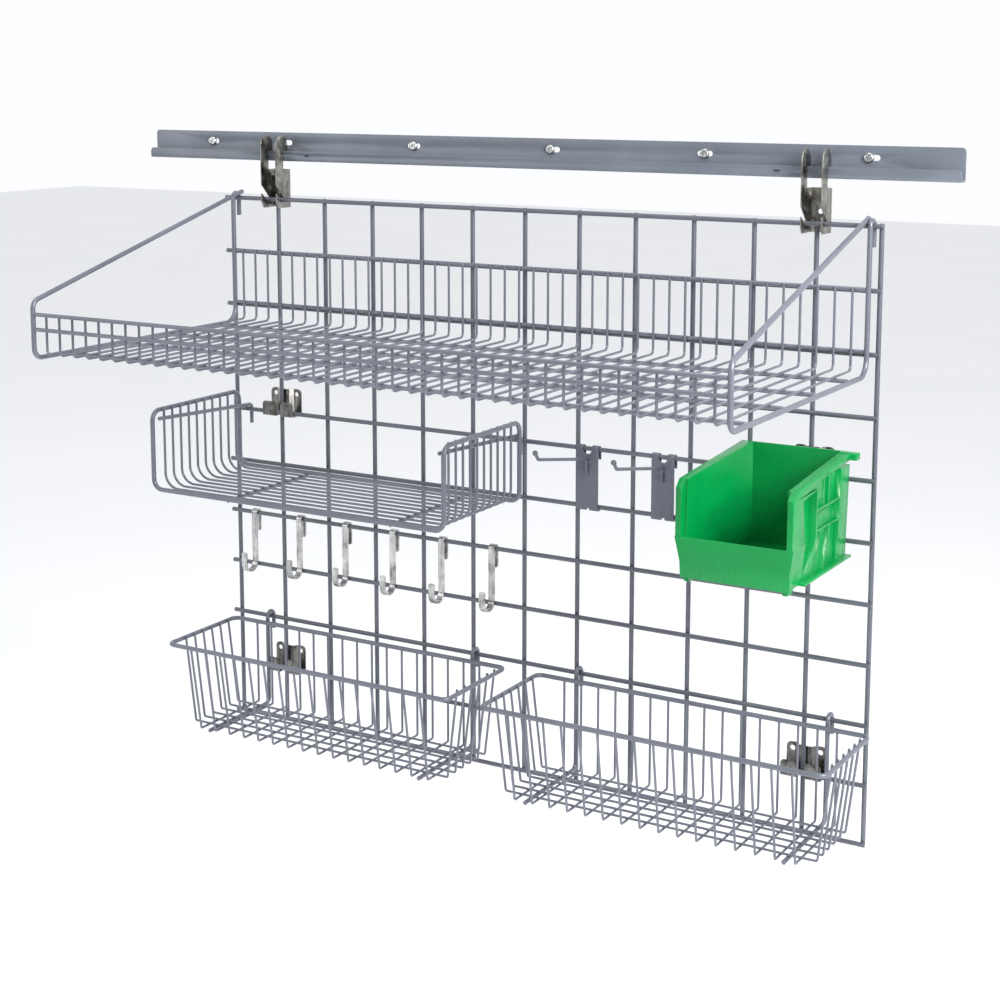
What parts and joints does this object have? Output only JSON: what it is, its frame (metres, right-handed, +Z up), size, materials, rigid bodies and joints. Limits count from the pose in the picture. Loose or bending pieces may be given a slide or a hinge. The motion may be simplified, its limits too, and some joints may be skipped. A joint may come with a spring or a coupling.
{
  "type": "wire grid wall storage panel",
  "caption": "Wire grid panel hung from a wall track, carrying wire shelves, baskets, strap hooks, peg hooks and a hopper bin that each hook over a level wire.",
  "frame": {"origin": "midway along the wall track, on the wall plane, at the height of the track's screws", "axes": "+X to the right along the level wires as seen from the room, +Y into the wall, +Z up"},
  "size_m": [1.143, 0.407, 0.8154],
  "materials": {
    "track_coat": "smooth grey powder coat",
    "grid_coat": "satin grey-blue epoxy coat over wire",
    "wire_coat": "satin grey-blue epoxy coat over wire",
    "peg_coat": "satin grey-blue coat over pressed sheet",
    "hook_chrome": "bright plated strap",
    "clip_nickel": "dull nickel plate",
    "bracket_nickel": "dull nickel plate",
    "screw_zinc": "bright zinc plate",
    "bin_plastic": "glossy moulded polypropylene"
  },
  "bodies": {
    "wall_mount": {"wall_track": "track_coat", "track_screws": "screw_zinc", "left_upper_wall_bracket": "bracket_nickel", "right_upper_wall_bracket": "bracket_nickel", "left_lower_wall_bracket": "bracket_nickel", "right_lower_wall_bracket": "bracket_nickel"},
    "grid": {"grid_uprights": "grid_coat", "grid_level_wires": "grid_coat", "left_hanging_clip": "clip_nickel", "right_hanging_clip": "clip_nickel"},
    "big_shelf": {"big_shelf_left_frame": "wire_coat", "big_shelf_right_frame": "wire_coat", "big_shelf_cross_wires": "wire_coat", "big_shelf_floor_wires": "wire_coat", "big_shelf_lip_rails": "wire_coat", "big_shelf_rear_rails": "wire_coat"},
    "small_shelf": {"small_shelf_frame": "wire_coat", "small_shelf_cross_wires": "wire_coat", "small_shelf_hook_rails": "wire_coat", "small_shelf_floor_bars": "wire_coat"},
    "left_basket": {"left_basket_rim": "wire_coat", "left_basket_cross_wires": "wire_coat", "left_basket_long_wires": "wire_coat", "left_basket_hangers": "wire_coat"},
    "right_basket": {"right_basket_rim": "wire_coat", "right_basket_cross_wires": "wire_coat", "right_basket_long_wires": "wire_coat", "right_basket_hangers": "wire_coat"},
    "hook_1": {"strap_hook_1": "hook_chrome"},
    "hook_2": {"strap_hook_2": "hook_chrome"},
    "hook_3": {"strap_hook_3": "hook_chrome"},
    "hook_4": {"strap_hook_4": "hook_chrome"},
    "hook_5": {"strap_hook_5": "hook_chrome"},
    "hook_6": {"strap_hook_6": "hook_chrome"},
    "peg_1": {"peg_plate_1": "peg_coat", "peg_wire_1": "peg_coat"},
    "peg_2": {"peg_plate_2": "peg_coat", "peg_wire_2": "peg_coat"},
    "bin": {"storage_bin": "bin_plastic", "bin_hooks": "bin_plastic"}
  },
  "joints": [
    {"name": "grid_lift", "type": "slide", "parent": "wall_mount", "child": "grid", "axis": [0, 0, 1], "range_m": [0, 0.01]},
    {"name": "big_shelf_swing", "type": "hinge", "parent": "grid", "child": "big_shelf", "pos_m": [0, -0.017, -0.075], "axis": [-1, 0, 0], "range_deg": [0, 40]},
    {"name": "small_shelf_swing", "type": "hinge", "parent": "grid", "child": "small_shelf", "pos_m": [0, -0.017, -0.3646], "axis": [-1, 0, 0], "range_deg": [0, 15]},
    {"name": "left_basket_swing", "type": "hinge", "parent": "grid", "child": "left_basket", "pos_m": [0, -0.017, -0.6542], "axis": [-1, 0, 0], "range_deg": [0, 30]},
    {"name": "right_basket_swing", "type": "hinge", "parent": "grid", "child": "right_basket", "pos_m": [0, -0.017, -0.6542], "axis": [-1, 0, 0], "range_deg": [0, 30]},
    {"name": "hook_1_swing", "type": "hinge", "parent": "grid", "child": "hook_1", "pos_m": [0, -0.017, -0.5094], "axis": [-1, 0, 0], "range_deg": [0, 60]},
    {"name": "hook_2_swing", "type": "hinge", "parent": "grid", "child": "hook_2", "pos_m": [0, -0.017, -0.5094], "axis": [-1, 0, 0], "range_deg": [0, 60]},
    {"name": "hook_3_swing", "type": "hinge", "parent": "grid", "child": "hook_3", "pos_m": [0, -0.017, -0.5094], "axis": [-1, 0, 0], "range_deg": [0, 60]},
    {"name": "hook_4_swing", "type": "hinge", "parent": "grid", "child": "hook_4", "pos_m": [0, -0.017, -0.5094], "axis": [-1, 0, 0], "range_deg": [0, 60]},
    {"name": "hook_5_swing", "type": "hinge", "parent": "grid", "child": "hook_5", "pos_m": [0, -0.017, -0.5094], "axis": [-1, 0, 0], "range_deg": [0, 60]},
    {"name": "hook_6_swing", "type": "hinge", "parent": "grid", "child": "hook_6", "pos_m": [0, -0.017, -0.5094], "axis": [-1, 0, 0], "range_deg": [0, 60]},
    {"name": "peg_1_swing", "type": "hinge", "parent": "grid", "child": "peg_1", "pos_m": [0, -0.017, -0.3646], "axis": [-1, 0, 0], "range_deg": [0, 30]},
    {"name": "peg_2_swing", "type": "hinge", "parent": "grid", "child": "peg_2", "pos_m": [0, -0.017, -0.3646], "axis": [-1, 0, 0], "range_deg": [0, 30]},
    {"name": "bin_swing", "type": "hinge", "parent": "grid", "child": "bin", "pos_m": [0, -0.017, -0.3646], "axis": [-1, 0, 0], "range_deg": [0, 8]}
  ]
}
